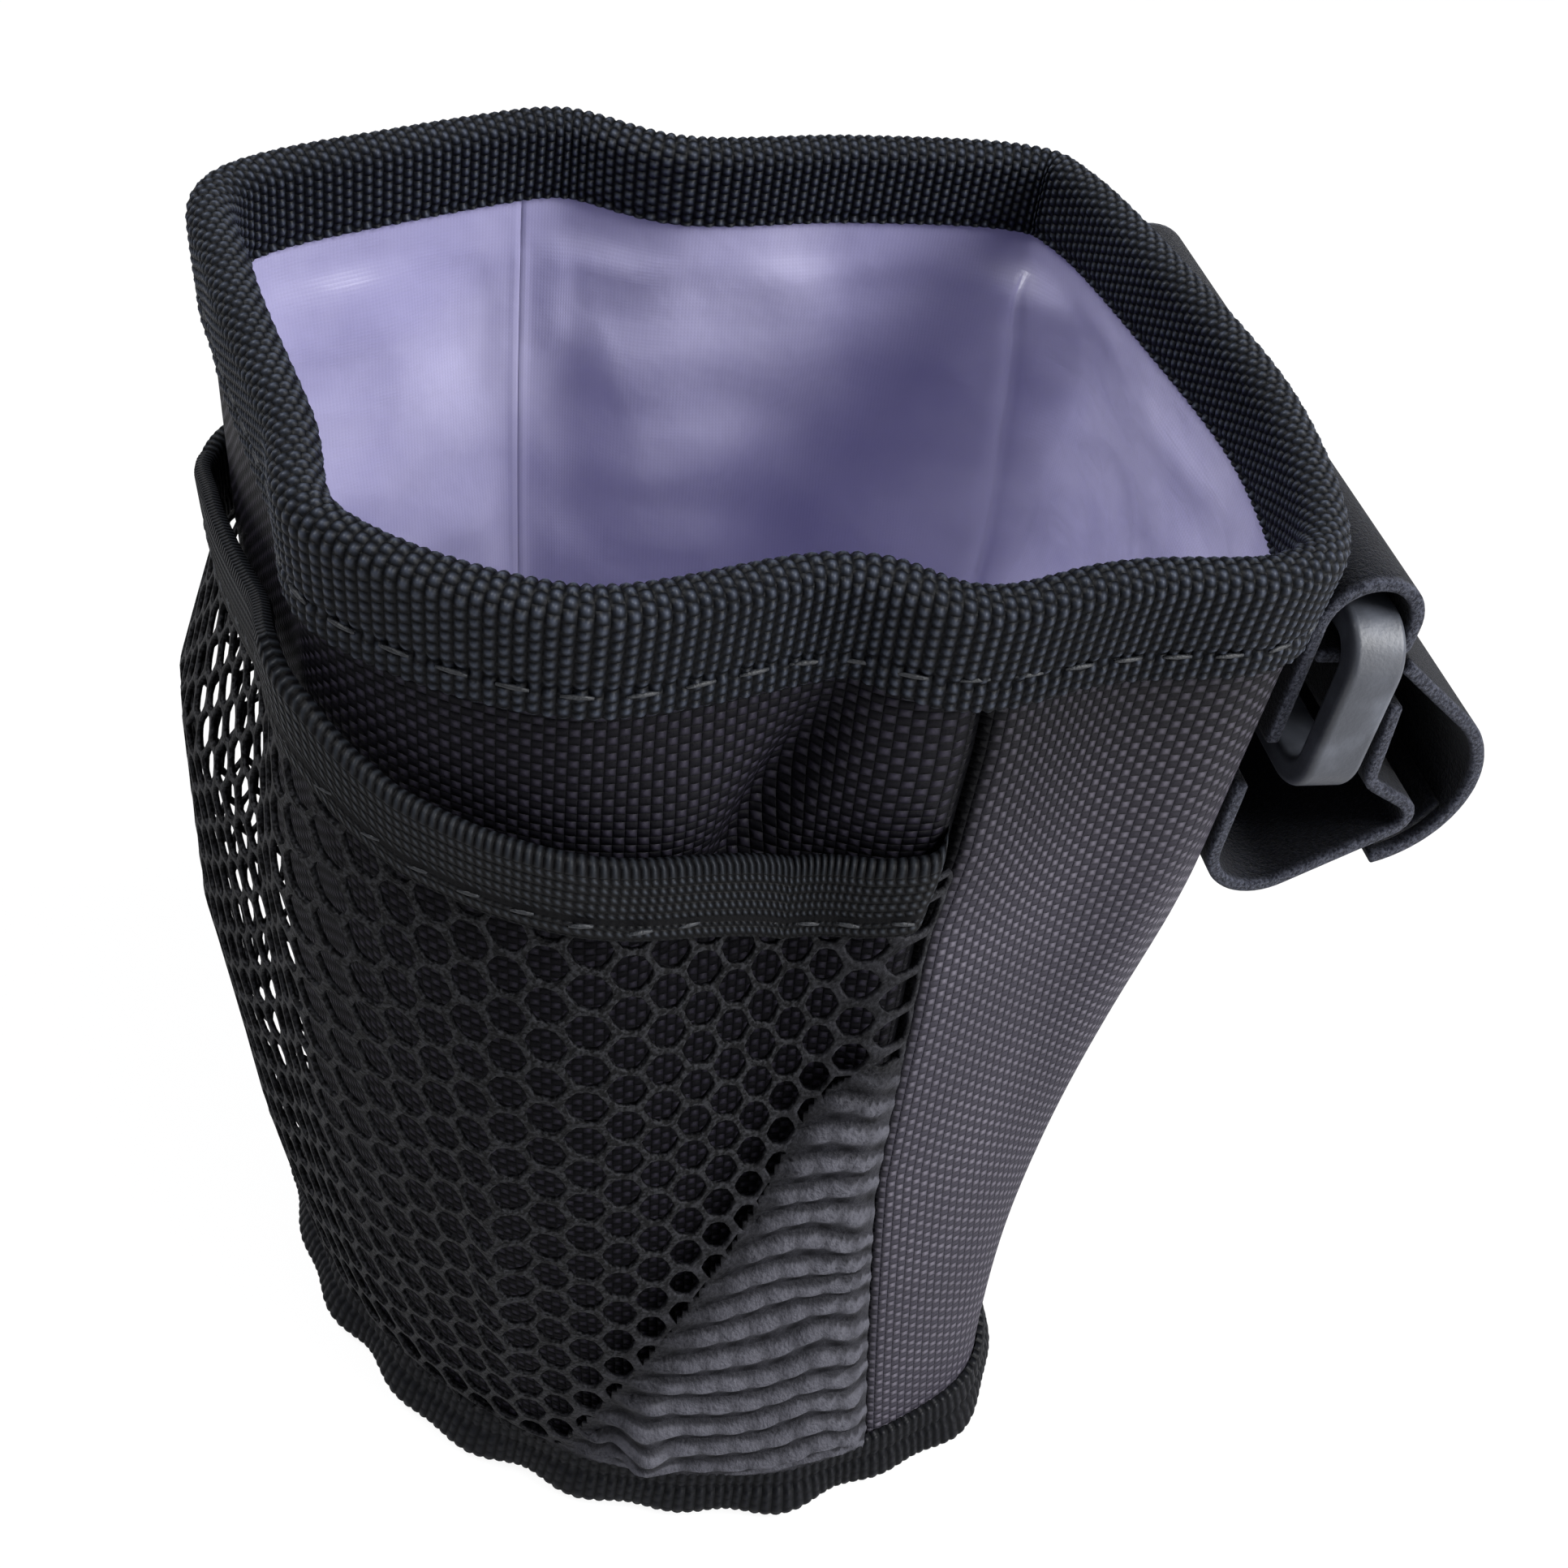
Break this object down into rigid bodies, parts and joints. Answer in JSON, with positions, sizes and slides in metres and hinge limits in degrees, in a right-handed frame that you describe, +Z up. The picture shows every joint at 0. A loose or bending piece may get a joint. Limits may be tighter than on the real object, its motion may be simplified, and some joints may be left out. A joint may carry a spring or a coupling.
{
  "type": "treat pouch",
  "caption": "Open-top fabric treat pouch with a smooth lining, ribbed edge bindings, elastic-topped mesh pockets, and a hook-and-loop belt strap with a plastic ring on its flat back.",
  "frame": {"origin": "on the floor under the middle of the round part of the base", "axes": "+X towards the viewer's right-hand end of the strap, +Y out of the flat back wall that carries the strap, +Z up out of the mouth; the mesh pockets are on the -Y side"},
  "size_m": [0.0909, 0.1144, 0.1097],
  "materials": {
    "outer_cloth": "black plain-weave polyester, slightly shiny yarns, greyish purple where it is lit",
    "lining_film": "pale lavender coated lining, smooth and glossy with soft wrinkles",
    "binding_tape": "black ribbed binding tape, a bead along each rib",
    "net": "black knitted net with six-sided holes",
    "knit_elastic": "black knitted elastic folded over the net, fine columns along it",
    "strap_tape": "black hook-and-loop tape with a fuzzy nap",
    "ring_plastic": "dark grey moulded plastic, satin"
  },
  "bodies": {
    "pouch": {"pocket_panel": "outer_cloth", "strap_panel": "outer_cloth", "base_panel": "outer_cloth", "lining_front": "lining_film", "lining_back": "lining_film", "lining_base": "lining_film", "rim_binding": "binding_tape", "base_binding": "binding_tape", "pocket_mesh": "net", "pocket_elastic": "knit_elastic", "strap_keeper": "strap_tape", "strap_lower": "strap_tape"},
    "ring": {"strap_ring": "ring_plastic"},
    "flap": {"strap_flap": "strap_tape", "flap_hook": "strap_tape"}
  },
  "joints": [
    {"name": "ring_swing", "type": "hinge", "parent": "pouch", "child": "ring", "pos_m": [-0.008, 0.0428, 0.0965], "axis": [1, 0, 0], "range_deg": [-8, 9]},
    {"name": "strap_open", "type": "hinge", "parent": "pouch", "child": "flap", "pos_m": [-0.008, 0.0476, 0.0923], "axis": [1, 0, 0], "range_deg": [0, 100]}
  ]
}
